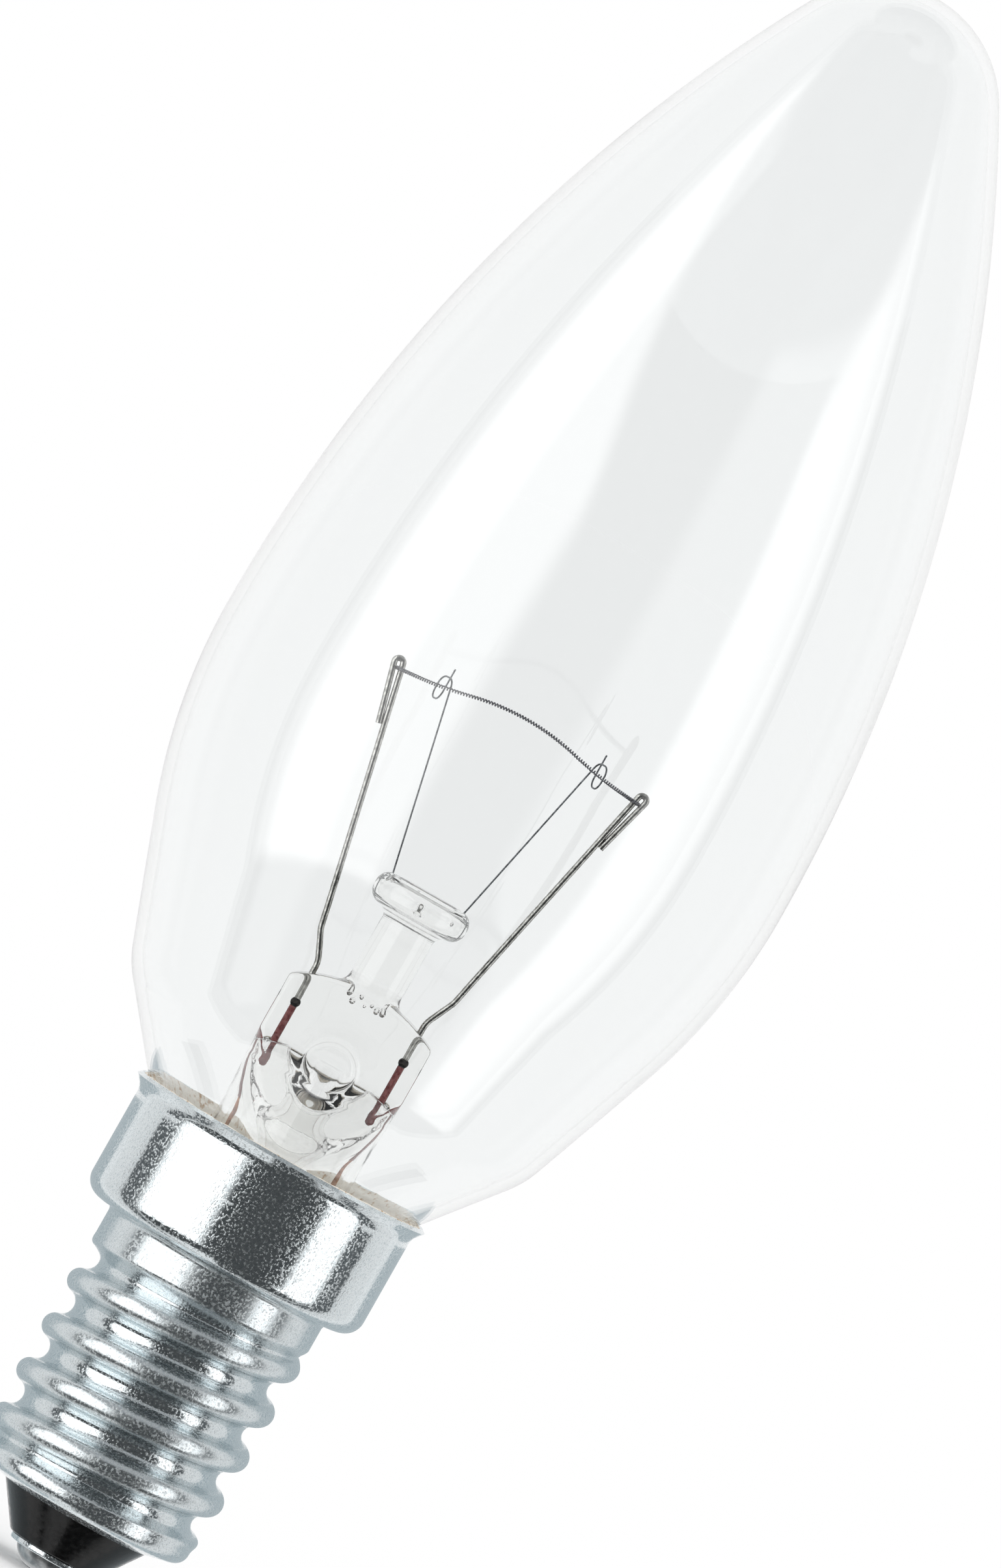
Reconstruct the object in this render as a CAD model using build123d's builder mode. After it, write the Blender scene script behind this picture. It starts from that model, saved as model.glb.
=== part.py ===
from build123d import *
from math import cos, hypot, pi, radians, sin, tan
import os

# A clear candle lamp with a small screw cap. +Z runs along its axis from the cap to the tip of the glass,
# the origin is the end of the centre contact, and the flat face of the stem looks along -Y.
# Sizes are in millimetres and angles in degrees. Heights stack up from the contact, piece on piece.

# Centre contact and insulator
solder_height = 0.95
solder_flat = 1.6  # diameter of the dressed end that meets the lampholder's spring
solder_land = 0.5  # plate left bare round the solder
plate_diameter = 5.2
plate_thickness = 0.35
plate_edge = 0.12
contact_hole = 1.0  # diameter of the way through plate and insulator for the lead
insulator_end_land = 0.15  # insulator left bare round the plate
insulator_end_edge = 0.25
insulator_height = 2.43  # of the cone that shows
insulator_diameter = 8.86  # where the cone meets the shell
insulator_clearance = 0.7  # inside the shell
insulator_depth = 1.5  # from the shell's edge to the inner face

# Rolled cap shell
cap_wall = 0.3
floor_slope = 13.0
base_inset = 0.35  # from the thread's crest to the base
base_height = 1.17
base_corner = 0.8
thread_diameter = 13.7  # over the crests
thread_depth = 1.1
thread_pitch = 2.822
thread_length = 13.0
thread_phase = -32.0  # where the crest stands at the bottom of the thread, from +X
thread_run_in = 1.1
thread_run_out = 1.3
sections_per_turn = 10
collar_inset = 0.15  # from the thread's crest to the collar
collar_length = 1.7
collar_roundness = 0.2  # share of the shoulder that the collar's bend takes up
skirt_diameter = 17.1
skirt_length = 6.4
skirt_corner = 1.11  # radius of the bend from the shoulder to the skirt
skirt_roundness = 0.6  # share of the shoulder that this bend takes up at most
rim_flare = 0.5
rim_length = 0.6
rim_fillet = 1.0

# Glass bulb
glass_wall = 0.6
cement_thickness = 0.55  # between the skirt and the neck
neck_gap = 0.7  # from the skirt's floor to the end of the neck
neck_length = 5.2
neck_taper = 38.7  # half-angle of the cone above the neck
neck_fillet = 3.0
hip_fillet = 6.0
flank_taper = 20.3  # half-angle of the straight flank above the hip
flank_radius = 33.7
bulb_diameter = 35.0
bulb_lower_length = 25.6  # from the neck to the widest place
bulb_upper_length = 48.0
tip_radius = 6.8
cement_top_gap = 0.2  # below the flare of the rim

# Glass stem
tube_diameter = 8.6
tube_wall = 0.6
flare_rim = 0.7
flare_angle = 43.0
flare_fillet = 2.0
press_bottom_rise = 11.0  # from the end of the neck
press_width = 8.9
press_thickness = 3.6
press_height = 4.0
press_crown = 1.2
press_taper = 39.0  # slope of the faces that run from the tube into the press
press_fillet = 1.8
throat_drop = 0.5  # from the press down to the top of the tube's hollow
throat_width = 0.6
blow_hole = 3.0
blow_hole_rise = 0.4  # from the bottom of the press
blow_hole_depth = 2.1
blow_hole_wall = 0.9  # of glass fused round it
exhaust_diameter = 2.8
exhaust_bore = 1.8
exhaust_length = 15.0
exhaust_tip = 1.6
exhaust_land = 0.15  # glass left between the tube's end and the blow hole
rod_diameter = 3.2
rod_length = 4.4
rod_fillet = 0.4
button_diameter = 5.8
button_height = 1.9
button_edge = 0.85

# Wires
lead_inset = 0.3  # from the tube's bore to the middle of the wire
lead_diameter = 0.36
lead_kink_rise = 1.7
lead_kink_out = 0.8
lead_bend = 1.6
lead_top_spacing = 15.2
weld_depth = 1.3  # of the joint between lead and seal wire, below the press's shoulders
seal_wire_diameter = 0.4
weld_diameter = 0.58
seal_wire_length = 5.9
outer_lead_diameter = 0.25
outer_lead_bend = 2.5
side_lead_bend = 0.28
side_solder_drop = 1.8  # from the flare of the rim to the joint on the skirt
side_solder_diameter = 2.2
side_solder_height = 0.65
side_solder_cover = 0.3  # solder over the end of the wire
side_hole_clearance = 0.08
centre_lead_turn = 3.0  # below the exhaust tip, where the lead turns to the axis
hook_length = 3.5
hook_flat = 0.02  # straight stretch at the top of the fold
clamp_clearance = 0.01
filament_diameter = 0.24
filament_rise = 16.1  # from the top of the press to the filament's ends
filament_grip = 0.35  # from the fold of the lead down to the filament
filament_tail = 0.4
filament_tail_bend = 0.5
filament_eye_bend = 4.0
filament_arch_bend = 12.0
filament_arch = 1.45  # of its middle above its ends
filament_bulge = 4.0  # of its middle in front of the leads
support_diameter = 0.1
support_spacing = 4.0  # between the wires where they leave the button
support_depth = 1.2
eye_spacing = 9.8
eye_bulge = 2.5
eye_rise = 0.3
eye_radius = 0.68
eye_roundness = 0.8  # the bends' share of that radius
eye_lead = 0.2  # how far the eye's turn steps along the filament
eye_tail = 0.55

# Heights, from the contact up
plate_bottom = solder_height
insulator_bottom = plate_bottom + plate_thickness
shell_bottom = insulator_bottom + insulator_height
thread_bottom = shell_bottom + base_height
thread_top = thread_bottom + thread_length
shoulder = thread_top + collar_length
flare_start = shoulder + skirt_length
rim_top = flare_start + rim_length
neck_bottom = shoulder + cap_wall + neck_gap
neck_top = neck_bottom + neck_length
widest = neck_top + bulb_lower_length
tip = widest + bulb_upper_length
press_bottom = neck_bottom + press_bottom_rise
press_shoulder = press_bottom + press_height
press_top = press_shoulder + press_crown
throat_top = press_bottom - throat_drop
hole_height = press_bottom + blow_hole_rise
exhaust_top = hole_height - blow_hole / 2 - exhaust_land
exhaust_end = exhaust_top - exhaust_length
button_bottom = press_top + rod_length
button_top = button_bottom + button_height
weld_height = press_shoulder - weld_depth
seal_wire_end = weld_height - seal_wire_length
filament_height = press_top + filament_rise
side_joint_height = flare_start - side_solder_drop

# Radii that several pieces share
crest = thread_diameter / 2
root = crest - thread_depth
base_radius = crest - base_inset
collar_radius = crest - collar_inset
skirt_radius = skirt_diameter / 2
skirt_bore = skirt_radius - cap_wall
rim_radius = skirt_radius + rim_flare
neck_radius = skirt_bore - cement_thickness
neck_bore = neck_radius - glass_wall
tube_radius = tube_diameter / 2
tube_bore = tube_radius - tube_wall
lead_x = tube_bore - lead_inset
plate_radius = plate_diameter / 2

os.makedirs("parts", exist_ok=True)


def finish(piece, name):
    """Labels a finished piece and writes it."""
    piece.part.label = name
    export_step(piece.part, f"parts/{name}.step")


def bent_wire(points, bends, diameter):
    """A round wire through the points, with one bend radius for each corner."""
    with BuildPart() as wire:
        with BuildLine() as path:
            FilletPolyline(*points, radius=bends)
        with BuildSketch(Plane(origin=path.line @ 0, z_dir=path.line % 0)):
            Circle(diameter / 2)
        sweep(path=path.line)
    return wire


# Lead wires: a kink above the press, a long straight run, and a hairpin that grips the filament
lead_run_out = lead_top_spacing / 2 - lead_x - lead_kink_out
lead_run_up = filament_height - press_top - lead_kink_rise
lead_lean = Vector(lead_run_out, 0, lead_run_up).normalized()
hook_spacing = lead_diameter + filament_diameter + 2 * clamp_clearance
hook_bend = (hook_spacing - hook_flat) / 2
hook_side = Vector(lead_lean.Z, 0, -lead_lean.X)  # from the lead to its folded end, outwards
grip = Vector(lead_top_spacing / 2, 0, filament_height)
hook_top = grip - hook_side * (hook_spacing / 2) + lead_lean * (filament_grip + lead_diameter / 2)


def sided(points, side):
    """The points on the right for a side of 1, and mirrored to the left for -1."""
    return [Vector(side * point.X, point.Y, point.Z) for point in map(Vector, points)]


def inner_lead(side):
    points = [
        (lead_x, 0, weld_height),
        (lead_x, 0, press_top),
        (lead_x + lead_kink_out, 0, press_top + lead_kink_rise),
        hook_top,
        hook_top + hook_side * hook_spacing,
        hook_top + hook_side * hook_spacing - lead_lean * hook_length,
    ]
    return bent_wire(sided(points, side), [lead_bend, lead_bend, hook_bend, hook_bend], lead_diameter)


def seal_wire(side, lead):
    """A straight wire with the weld bead that joins it to the lead above."""
    with BuildPart() as wire:
        with BuildSketch(Plane.XY.offset(seal_wire_end)):
            with Locations((side * lead_x, 0)):
                Circle(seal_wire_diameter / 2)
        extrude(amount=seal_wire_length)
        with Locations((side * lead_x, 0, weld_height)):
            Sphere(weld_diameter / 2)
        add(lead.part, mode=Mode.SUBTRACT)
    return wire


inner_lead_left = inner_lead(-1)
inner_lead_right = inner_lead(1)
seal_wire_left = seal_wire(-1, inner_lead_left)
seal_wire_right = seal_wire(1, inner_lead_right)

# The filament's line: clamped at both leads, through both eyes, bulging forwards and arching up
eye = Vector(eye_spacing / 2, -eye_bulge, filament_height + eye_rise)
filament_half = [
    grip + Vector(0, filament_tail, 0),
    grip - Vector(0, filament_tail, 0),
    eye,
]
filament_middle = Vector(0, -filament_bulge, filament_height + filament_arch)
filament_points = sided(filament_half, -1) + [filament_middle] + sided(filament_half[::-1], 1)
filament_bends = [
    filament_tail_bend,
    filament_eye_bend,
    filament_arch_bend,
    filament_eye_bend,
    filament_tail_bend,
]
filament = bent_wire(filament_points, filament_bends, filament_diameter)

# Support wires: up from the button, once round the filament, and a short tail
along = Vector(filament_middle.X - grip.X, filament_middle.Y - grip.Y, 0).normalized()  # to the middle
across = Vector(along.Y, -along.X, 0)  # level, from the filament back to the stem


def support_wire(side):
    upward = Vector(0, 0, eye_radius)
    back = across * eye_radius
    step = along * -eye_lead
    points = [
        (support_spacing / 2, 0, button_top - support_depth),
        eye + back + upward,
        eye - back + upward,
        eye - back - upward,
        eye + back - upward + step,
        eye + back + upward + step + Vector(0, 0, eye_tail),
    ]
    return bent_wire(sided(points, side), eye_roundness * eye_radius, support_diameter)


support_wire_left = support_wire(-1)
support_wire_right = support_wire(1)

# Outer leads: one down the middle to the contact, one round the end of the neck to the skirt
lead_run = neck_bottom - neck_gap / 2
gap_radius = (neck_radius + skirt_bore) / 2
turn_height = exhaust_end - centre_lead_turn
outer_lead_centre = bent_wire(
    [
        (lead_x, 0, seal_wire_end),
        (lead_x, 0, exhaust_end),
        (0, 0, turn_height),
        (0, 0, solder_height),
    ],
    outer_lead_bend,
    outer_lead_diameter,
)
outer_lead_side = bent_wire(
    [
        (-lead_x, 0, seal_wire_end),
        (-lead_x, 0, lead_run),
        (0, gap_radius, lead_run),
        (0, gap_radius, side_joint_height),
        (0, skirt_radius + side_solder_height - side_solder_cover, side_joint_height),
    ],
    [outer_lead_bend, side_lead_bend, side_lead_bend],
    outer_lead_diameter,
)

# Glass bulb: one outline, turned about the axis
bulb_radius = bulb_diameter / 2
tip_centre = tip - tip_radius
tip_rise = tip_centre - widest
dome_radius = (bulb_radius**2 + tip_rise**2 - tip_radius**2) / (2 * (bulb_radius - tip_radius))
dome_axis = dome_radius - bulb_radius
dome_to_tip = hypot(dome_axis, tip_rise)
tip_start = (tip_radius * dome_axis / dome_to_tip, tip_centre + tip_radius * tip_rise / dome_to_tip)
flank_start = (
    bulb_radius - flank_radius * (1 - cos(radians(flank_taper))),
    widest - flank_radius * sin(radians(flank_taper)),
)
neck_slope = tan(radians(neck_taper))
flank_slope = tan(radians(flank_taper))
hip_height = (
    flank_start[0] - neck_radius + neck_slope * neck_top - flank_slope * flank_start[1]
) / (neck_slope - flank_slope)
hip = (neck_radius + neck_slope * (hip_height - neck_top), hip_height)


def glass_outline():
    """The outside of the bulb, from the end of the neck to the tip. Goes in a BuildLine."""
    FilletPolyline(
        (neck_radius, neck_bottom),
        (neck_radius, neck_top),
        hip,
        flank_start,
        radius=[neck_fillet, hip_fillet],
    )
    RadiusArc(flank_start, (bulb_radius, widest), -flank_radius)
    RadiusArc((bulb_radius, widest), tip_start, -dome_radius)
    RadiusArc(tip_start, (0, tip), -tip_radius)


with BuildPart() as glass_envelope:
    with BuildSketch(Plane.XZ):
        with BuildLine():
            glass_outline()
            offset(amount=glass_wall, side=Side.LEFT, closed=True)
        make_face()
    revolve(axis=Axis.Z)
finish(glass_envelope, "glass_envelope")

# The filled bulb, as a tool to shape the cement
with BuildPart() as glass_form:
    with BuildSketch(Plane.XZ):
        with BuildLine():
            glass_outline()
            Polyline((0, tip), (0, neck_bottom), (neck_radius, neck_bottom))
        make_face()
    revolve(axis=Axis.Z)

# Stem: a flared tube, pressed flat at its top
flare_rim_top = neck_bottom + flare_rim
flare_top = flare_rim_top + (neck_bore - tube_radius) / tan(radians(flare_angle))
flare_inset = tube_wall * tan(radians(flare_angle / 2))
press_slope = tan(radians(press_taper))
press_spread = press_thickness / 2 + (press_bottom - neck_bottom) * press_slope
throat_spread = throat_width / 2 + (throat_top - neck_bottom) * press_slope

with BuildPart() as stem_hollow:
    with BuildSketch(Plane.XZ):
        Polygon(
            (0, neck_bottom),
            (neck_bore - tube_wall, neck_bottom),
            (neck_bore - tube_wall, flare_rim_top - flare_inset),
            (tube_bore, flare_top - flare_inset),
            (tube_bore, throat_top),
            (0, throat_top),
            align=None,
        )
    revolve(axis=Axis.Z)
    with BuildSketch(Plane.YZ):
        Polygon(
            (-throat_spread, neck_bottom),
            (throat_spread, neck_bottom),
            (throat_width / 2, throat_top),
            (-throat_width / 2, throat_top),
            align=None,
        )
    extrude(amount=bulb_radius, both=True, mode=Mode.INTERSECT)
    with BuildSketch(Plane.XZ):
        with Locations((0, hole_height)):
            Circle(blow_hole / 2 + blow_hole_wall)
    extrude(amount=tube_radius, both=True, mode=Mode.SUBTRACT)

with BuildPart() as stem_press:
    with BuildSketch(Plane.XZ):
        with BuildLine():
            outline = FilletPolyline(
                (neck_bore, neck_bottom),
                (neck_bore, flare_rim_top),
                (tube_radius, flare_top),
                (tube_radius, press_bottom - (tube_radius - press_thickness / 2) / press_slope),
                (press_width / 2, press_bottom),
                (press_width / 2, press_top),
                radius=[0, flare_fillet, 0, 0],
            )
            Polyline(outline @ 1, (0, press_top), (0, neck_bottom), outline @ 0)
        make_face()
    revolve(axis=Axis.Z)
    with BuildSketch(Plane.YZ):
        with BuildLine():
            FilletPolyline(
                (press_spread, neck_bottom),
                (press_thickness / 2, press_bottom),
                (press_thickness / 2, press_top),
                radius=press_fillet,
            )
            mirror(about=Plane.YZ)
            Line((-press_spread, neck_bottom), (press_spread, neck_bottom))
            Line((-press_thickness / 2, press_top), (press_thickness / 2, press_top))
        make_face()
    extrude(amount=bulb_radius, both=True, mode=Mode.INTERSECT)
    with BuildSketch(Plane.XZ):
        with BuildLine():
            ThreePointArc(
                (press_width / 2, press_shoulder),
                (0, press_top),
                (-press_width / 2, press_shoulder),
            )
            Polyline(
                (-press_width / 2, press_shoulder),
                (-bulb_radius, press_shoulder),
                (-bulb_radius, neck_bottom),
                (bulb_radius, neck_bottom),
                (bulb_radius, press_shoulder),
                (press_width / 2, press_shoulder),
            )
        make_face()
    extrude(amount=bulb_radius, both=True, mode=Mode.INTERSECT)
    add(stem_hollow.part, mode=Mode.SUBTRACT)
    with BuildSketch(Plane.XY.offset(exhaust_top)):
        Circle(exhaust_diameter / 2)
    extrude(amount=-exhaust_length, mode=Mode.SUBTRACT)
    with BuildSketch(Plane.XY.offset(hole_height)):
        Circle(exhaust_bore / 2)
    extrude(amount=exhaust_top - hole_height, mode=Mode.SUBTRACT)
    with BuildSketch(Plane.XZ.offset(press_thickness / 2 - blow_hole_depth)):
        with Locations((0, hole_height)):
            Circle(blow_hole / 2)
    extrude(amount=tube_radius, mode=Mode.SUBTRACT)
    for wire in (inner_lead_left, inner_lead_right, seal_wire_left, seal_wire_right):
        add(wire.part, mode=Mode.SUBTRACT)
finish(stem_press, "stem_press")

# Pump tube, drawn to a closed tip
bore_end = exhaust_end + exhaust_tip

with BuildPart() as exhaust_tube:
    with BuildSketch(Plane.XZ):
        Polygon(
            (exhaust_bore / 2, exhaust_top),
            (exhaust_diameter / 2, exhaust_top),
            (exhaust_diameter / 2, bore_end),
            (0, exhaust_end),
            (0, bore_end),
            (exhaust_bore / 2, bore_end + exhaust_tip),
            align=None,
        )
    revolve(axis=Axis.Z)
finish(exhaust_tube, "exhaust_tube")

# Support rod with its button
with BuildPart() as support_rod:
    with BuildSketch(Plane.XZ):
        with BuildLine():
            outline = FilletPolyline(
                (rod_diameter / 2, press_shoulder),
                (rod_diameter / 2, button_bottom),
                (button_diameter / 2, button_bottom),
                (button_diameter / 2, button_top),
                (0, button_top),
                radius=[rod_fillet, button_edge, button_edge],
            )
            Polyline(outline @ 1, (0, press_shoulder), outline @ 0)
        make_face()
    revolve(axis=Axis.Z)
    add(stem_press.part, mode=Mode.SUBTRACT)
    add(support_wire_left.part, mode=Mode.SUBTRACT)
    add(support_wire_right.part, mode=Mode.SUBTRACT)
finish(support_rod, "support_rod")

# Cap shell: base, rolled thread, collar, skirt and rim, all of one sheet
shoulder_width = skirt_radius - collar_radius
skirt_bend = min(skirt_corner, skirt_roundness * shoulder_width)
floor_rise = (base_radius - insulator_diameter / 2) * tan(radians(floor_slope))


def thread_section(height):
    """Radius and crest offset of the section, an off-centre circle that turns as it climbs."""
    from_bottom = height - thread_bottom
    share = min(1, from_bottom / thread_run_in, (thread_length - from_bottom) / thread_run_out)
    share = share**2 * (3 - 2 * share)
    plain = base_radius if from_bottom < thread_length / 2 else collar_radius
    return plain + share * ((crest + root) / 2 - plain), share * (crest - root) / 2


with BuildPart() as cap_thread:
    sections = round(sections_per_turn * thread_length / thread_pitch)
    for i in range(sections + 1):
        climb = thread_length * i / sections
        radius, crest_offset = thread_section(thread_bottom + climb)
        turn = 2 * pi * climb / thread_pitch + radians(thread_phase)
        with BuildSketch(Plane.XY.offset(thread_bottom + climb)):
            with Locations((crest_offset * cos(turn), crest_offset * sin(turn))):
                Circle(radius)
                Circle(radius - cap_wall, mode=Mode.SUBTRACT)
    loft()

with BuildPart() as cap_skirt:
    with BuildSketch(Plane.XZ):
        with BuildLine():
            FilletPolyline(
                (collar_radius, thread_top),
                (collar_radius, shoulder),
                (skirt_radius, shoulder),
                (skirt_radius, flare_start),
                (rim_radius, rim_top),
                radius=[collar_roundness * shoulder_width, skirt_bend, rim_fillet],
            )
            offset(amount=cap_wall, side=Side.LEFT, closed=True)
        make_face()
    revolve(axis=Axis.Z)

with BuildPart() as cap_shell:
    with BuildSketch(Plane.XZ):
        with BuildLine():
            FilletPolyline(
                (insulator_diameter / 2, shell_bottom),
                (base_radius, shell_bottom + floor_rise),
                (base_radius, thread_bottom),
                radius=base_corner,
            )
            offset(amount=cap_wall, side=Side.LEFT, closed=True)
        make_face()
    revolve(axis=Axis.Z)
    add(cap_thread.part)
    add(cap_skirt.part)
    with BuildSketch(Plane.XZ.offset(-skirt_radius)):
        with Locations((0, side_joint_height)):
            Circle(outer_lead_diameter / 2 + side_hole_clearance)
    extrude(amount=2 * cap_wall, mode=Mode.SUBTRACT)
finish(cap_shell, "cap_shell")

# Insulator: black glass moulded through the shell's end, over the edge of its floor
edge_in = cap_wall * sin(radians(floor_slope))
edge_up = cap_wall * cos(radians(floor_slope))
floor_edge = (insulator_diameter / 2 - edge_in, shell_bottom + edge_up)
flange_radius = base_radius - cap_wall - insulator_clearance
flange_rise = (flange_radius - floor_edge[0]) * tan(radians(floor_slope))

with BuildPart() as cap_insulator:
    with BuildSketch(Plane.XZ):
        with BuildLine():
            outline = FilletPolyline(
                (contact_hole / 2, insulator_bottom),
                (plate_radius + insulator_end_land, insulator_bottom),
                (insulator_diameter / 2, shell_bottom),
                floor_edge,
                (flange_radius, floor_edge[1] + flange_rise),
                (flange_radius, shell_bottom + insulator_depth),
                (contact_hole / 2, shell_bottom + insulator_depth),
                radius=[insulator_end_edge, 0, 0, 0, 0],
            )
            Line(outline @ 1, outline @ 0)
        make_face()
    revolve(axis=Axis.Z)
finish(cap_insulator, "cap_insulator")

with BuildPart() as contact_plate:
    with BuildSketch(Plane.XY.offset(plate_bottom)):
        Circle(plate_radius)
        Circle(contact_hole / 2, mode=Mode.SUBTRACT)
    extrude(amount=plate_thickness)
    fillet(contact_plate.edges().group_by(Axis.Z)[0].sort_by(SortBy.LENGTH)[-1], plate_edge)
finish(contact_plate, "contact_plate")

with BuildPart() as centre_solder:
    with BuildSketch(Plane.XZ):
        with BuildLine():
            dome = TangentArc(
                (solder_flat / 2, 0),
                (plate_radius - solder_land, solder_height),
                tangent=(1, 0),
            )
            Polyline(dome @ 1, (0, solder_height), (0, 0), dome @ 0)
        make_face()
    revolve(axis=Axis.Z)
finish(centre_solder, "centre_solder")

# Side joint: a bead of solder over the wire that comes through the skirt
bead_radius = ((side_solder_diameter / 2) ** 2 + side_solder_height**2) / (2 * side_solder_height)

with BuildPart() as side_solder:
    with Locations((0, skirt_radius + side_solder_height - bead_radius, side_joint_height)):
        Sphere(bead_radius)
    with BuildSketch(Plane.XY.offset(side_joint_height - bead_radius)):
        Circle(skirt_radius)
    extrude(amount=2 * bead_radius, mode=Mode.SUBTRACT)
    add(outer_lead_side.part, mode=Mode.SUBTRACT)
finish(side_solder, "side_solder")

# Cement, from the end of the neck to just under the rim's flare
with BuildPart() as capping_cement:
    with BuildSketch(Plane.XY.offset(neck_bottom)):
        Circle(skirt_bore)
        Circle(neck_bore, mode=Mode.SUBTRACT)
    extrude(amount=flare_start - cement_top_gap - neck_bottom)
    add(glass_form.part, mode=Mode.SUBTRACT)
    add(cap_skirt.part, mode=Mode.SUBTRACT)
    add(outer_lead_side.part, mode=Mode.SUBTRACT)
finish(capping_cement, "capping_cement")

finish(inner_lead_left, "inner_lead_left")
finish(inner_lead_right, "inner_lead_right")
finish(seal_wire_left, "seal_wire_left")
finish(seal_wire_right, "seal_wire_right")
finish(outer_lead_centre, "outer_lead_centre")
finish(outer_lead_side, "outer_lead_side")
finish(support_wire_left, "support_wire_left")
finish(support_wire_right, "support_wire_right")
finish(filament, "filament")
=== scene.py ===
from math import asin, atan2, copysign, cos, pi, radians, sin, tan

import bmesh
import bpy
import numpy as np
from mathutils import Matrix, Vector, noise


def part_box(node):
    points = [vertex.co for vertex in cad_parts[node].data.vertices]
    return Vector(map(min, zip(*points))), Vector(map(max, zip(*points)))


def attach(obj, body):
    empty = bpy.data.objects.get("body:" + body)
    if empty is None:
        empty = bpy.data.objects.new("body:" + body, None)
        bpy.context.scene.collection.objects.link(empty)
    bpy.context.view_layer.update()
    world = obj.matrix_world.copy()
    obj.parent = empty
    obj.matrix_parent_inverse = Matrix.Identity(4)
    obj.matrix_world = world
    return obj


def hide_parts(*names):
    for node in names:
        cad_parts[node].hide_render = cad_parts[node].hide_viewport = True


# A clear candle lamp with a screw cap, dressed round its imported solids. Pieces are drawn in millimetres
# in the frame of the solids, with +Z from the cap to the tip, and scaled to metres when they are finished.
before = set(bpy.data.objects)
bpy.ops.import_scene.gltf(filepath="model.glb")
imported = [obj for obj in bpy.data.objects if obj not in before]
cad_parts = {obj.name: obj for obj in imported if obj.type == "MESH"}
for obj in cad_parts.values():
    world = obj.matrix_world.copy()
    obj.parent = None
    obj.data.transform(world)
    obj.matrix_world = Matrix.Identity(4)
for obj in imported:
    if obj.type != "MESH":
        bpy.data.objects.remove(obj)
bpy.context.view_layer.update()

MM = 0.001


def box_mm(node):
    """The lowest and highest corners of a solid, in millimetres."""
    low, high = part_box(node)
    return low / MM, high / MM


# Glass bulb
envelope_low, envelope_high = box_mm("glass_envelope")
glass_wall = 0.6
neck_radius = 7.7
neck_bottom = envelope_low.z
neck_top = neck_bottom + 5.2
neck_taper = radians(38.7)
neck_fillet = 3.0
hip_fillet = 6.0
flank_taper = radians(20.3)
flank_radius = 33.7
bulb_radius = min(envelope_high.x, -envelope_low.x)
widest = neck_top + 25.6
tip = envelope_high.z
tip_radius = 6.8

# Cap shell
cap_wall = 0.3
crest = 6.85
root = 5.75
base_radius = 6.5
base_corner = 0.8
collar_radius = 6.7
collar_corner = 0.37
skirt_radius = 8.55
skirt_corner = 1.11
rim_radius = 9.05
rim_fillet = 1.0
floor_radius = 4.43
floor_slope = radians(13)
shell_bottom = box_mm("cap_shell")[0].z
thread_bottom = shell_bottom + 1.17
thread_pitch = 2.822
thread_length = 13.0
thread_phase = radians(-32)
thread_run_in = 1.1
thread_run_out = 1.3
thread_top = thread_bottom + thread_length
shoulder = thread_top + 1.7
flare_start = shoulder + 6.4
rim_top = flare_start + 0.6
lead_hole = 0.5

# Insulator and contact
insulator_ledge = 0.15  # round the contact plate
insulator_corner = 0.25
insulator_top_corner = 0.2
plate_corner = 0.12
plate_top_corner = 0.06
solder_flat = 0.8  # radius of the solder's flat end

# Cement
cement_clearance = 0.01
cement_rise = 0.25  # above the rim, at the glass
cement_edge_inset = 0.03  # from the rim's inside
cement_edge_rise = 0.1  # above the rim, at the metal
cement_flare_drop = 0.2  # below the start of the flare
cement_unevenness = 0.15
cement_wave = 1.5  # size of the unevenness along the edge

# Glass stem
rod_high = box_mm("support_rod")[1]
exhaust_low, exhaust_high = box_mm("exhaust_tube")
tube_radius = 4.3
tube_wall = 0.6
press_half_width = 4.45
press_half_thickness = 1.8
press_top = box_mm("stem_press")[1].z
press_shoulder = press_top - 1.2
press_bottom = press_shoulder - 4.0
press_taper = radians(39)
press_slope = tan(press_taper)
press_fillet = 1.8
blow_hole_radius = 1.5
blow_hole_wall = 0.9
blow_hole_height = press_bottom + 0.4
button_radius = rod_high.x
button_top = rod_high.z
button_height = 1.9
button_bottom = button_top - button_height
button_corner = 0.85
rod_radius = 1.6
rod_fillet = 0.4
rod_sink = 1.0  # into the press
exhaust_radius = exhaust_high.x
exhaust_bore = 0.9
exhaust_tip = 1.6  # length of the drawn-out end
exhaust_tip_corner = 0.8
exhaust_sink = 0.4  # into the press
flare_radius = neck_radius - glass_wall - 0.03
flare_rim = 0.7
flare_top = neck_bottom + flare_rim + (flare_radius - tube_radius) / tan(radians(43))
flare_fillet = 2.0
flare_bore_fillet = 2.4
flare_rim_bore = 0.45  # height of the rim's straight inside
flare_bore_drop = 0.25  # of the bend inside the flare, from the bend outside
press_bead = 0.35  # squeezed out at the sides before the press is trimmed
press_bead_rise = 0.6
slit = 0.3  # half of the hollow's thickness in the press
slit_rise = 0.6  # above the middle of the blow hole
slit_end = 1.2  # height of the hollow's pointed end
slit_corner = 0.3
blow_hole_back = 0.3  # how far the blow hole reaches behind the middle
past_all = 20  # far enough to reach past the whole stem
cut_margin = 1  # by which a cut passes the face that it opens
stem_voxel = 0.13

# Filament
filament_radius = 0.12  # over the coil
coil_turn_pitch = 0.17  # a real coil is wound closer
coil_steps = 10  # points in a turn
coil_wire_radius = 0.042
coil_radius = filament_radius - coil_wire_radius
clamp_x = 7.6
clamp_z = box_mm("filament")[0].z + filament_radius
filament_tail = 0.4
eye_x = 4.9
eye_bulge = 2.6
eye_rise = 0.3
arch_x = 1.6
arch_bulge = 3.5
arch_rise = 1.1

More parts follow.
